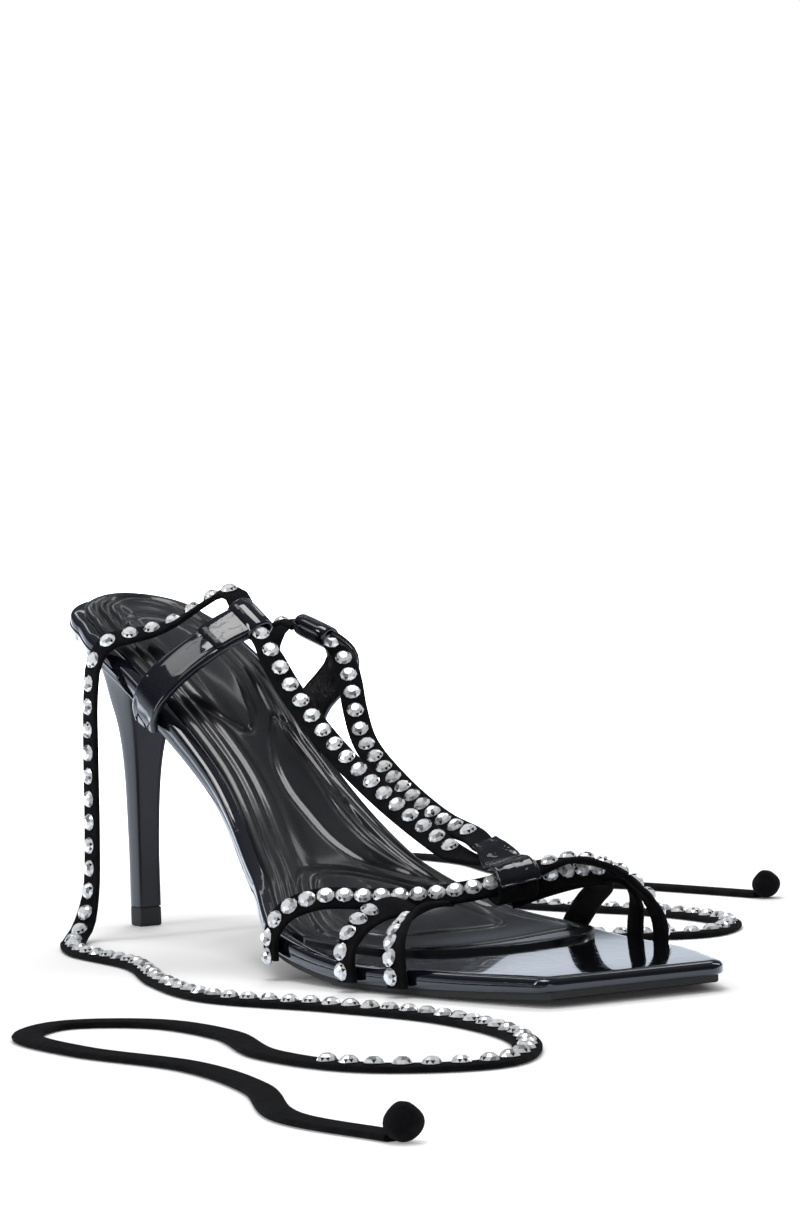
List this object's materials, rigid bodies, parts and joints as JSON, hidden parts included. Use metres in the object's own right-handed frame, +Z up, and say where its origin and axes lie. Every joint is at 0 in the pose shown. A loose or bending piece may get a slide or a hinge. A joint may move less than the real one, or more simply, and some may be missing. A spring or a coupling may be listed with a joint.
{
  "type": "lace-up stiletto sandal",
  "caption": "High-heeled lace-up sandal for the right foot, with crossing suede straps over the forefoot, side straps with loops, and long flat ties that lie uncoiled on the floor.",
  "frame": {"origin": "on the floor under the middle of the sandal's box, measured without the free ties", "axes": "+X towards the toe, +Y towards the inner side of the foot, +Z up"},
  "size_m": [0.448, 0.2876, 0.0847],
  "materials": {
    "patent_leather": "high gloss",
    "heel_patent": "high gloss",
    "sock_leather": "satin",
    "suede": "matte",
    "outsole_rubber": "matte",
    "top_lift_rubber": "matte"
  },
  "bodies": {
    "root": {"outsole": "outsole_rubber", "covered_board": "patent_leather", "sock": "sock_leather", "heel": "heel_patent", "top_lift": "top_lift_rubber", "side_strap_outer": "patent_leather", "side_strap_inner": "patent_leather", "vamp_straps": "suede", "keeper": "patent_leather", "tie_run_outer": "suede", "tie_run_inner": "suede", "tie_end_outer": "suede", "tie_end_inner": "suede", "tie_knot_outer": "suede", "tie_knot_inner": "suede"}
  },
  "joints": []
}
